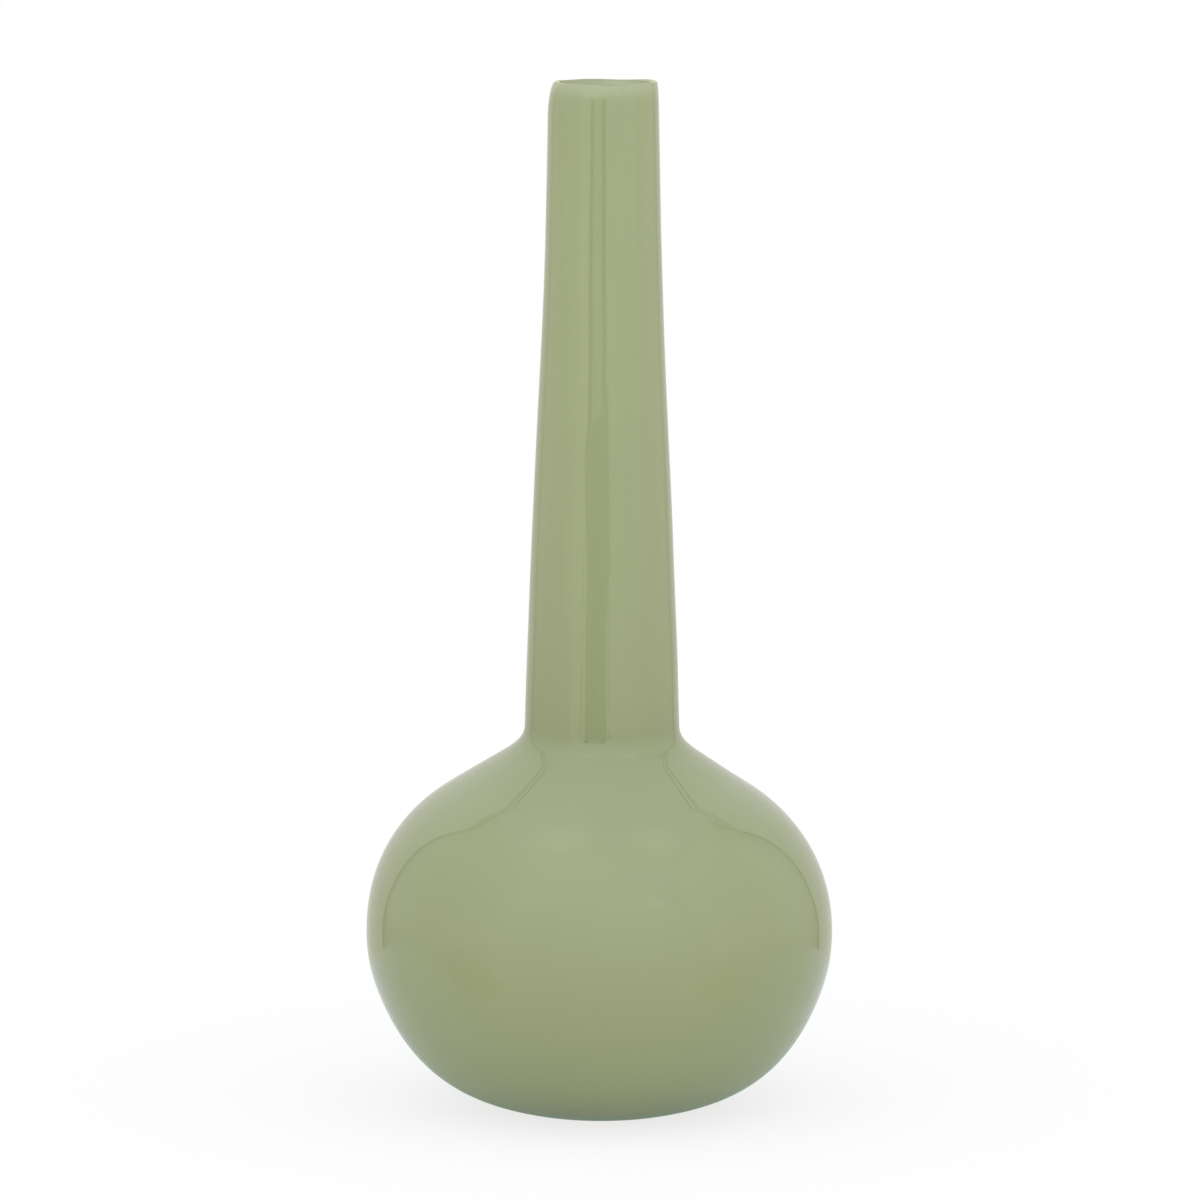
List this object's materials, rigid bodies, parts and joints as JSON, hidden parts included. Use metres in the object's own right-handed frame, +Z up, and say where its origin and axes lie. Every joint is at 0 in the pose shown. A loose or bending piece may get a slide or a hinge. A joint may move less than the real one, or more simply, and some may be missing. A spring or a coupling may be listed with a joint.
{
  "type": "bud vase",
  "caption": "Free-standing glass bud vase with a squat round bowl, a long tapering neck, a narrow open mouth and a flat foot ring.",
  "frame": {"origin": "on the resting plane, under the centre of the bowl's widest circle", "axes": "+Z up through the bowl and the neck; the neck drifts a millimetre or two towards +X; -Y is the pictured front"},
  "size_m": [0.1388, 0.1388, 0.305],
  "materials": {
    "sage_glass": "polished"
  },
  "bodies": {
    "root": {"glass_vessel": "sage_glass"}
  },
  "joints": []
}
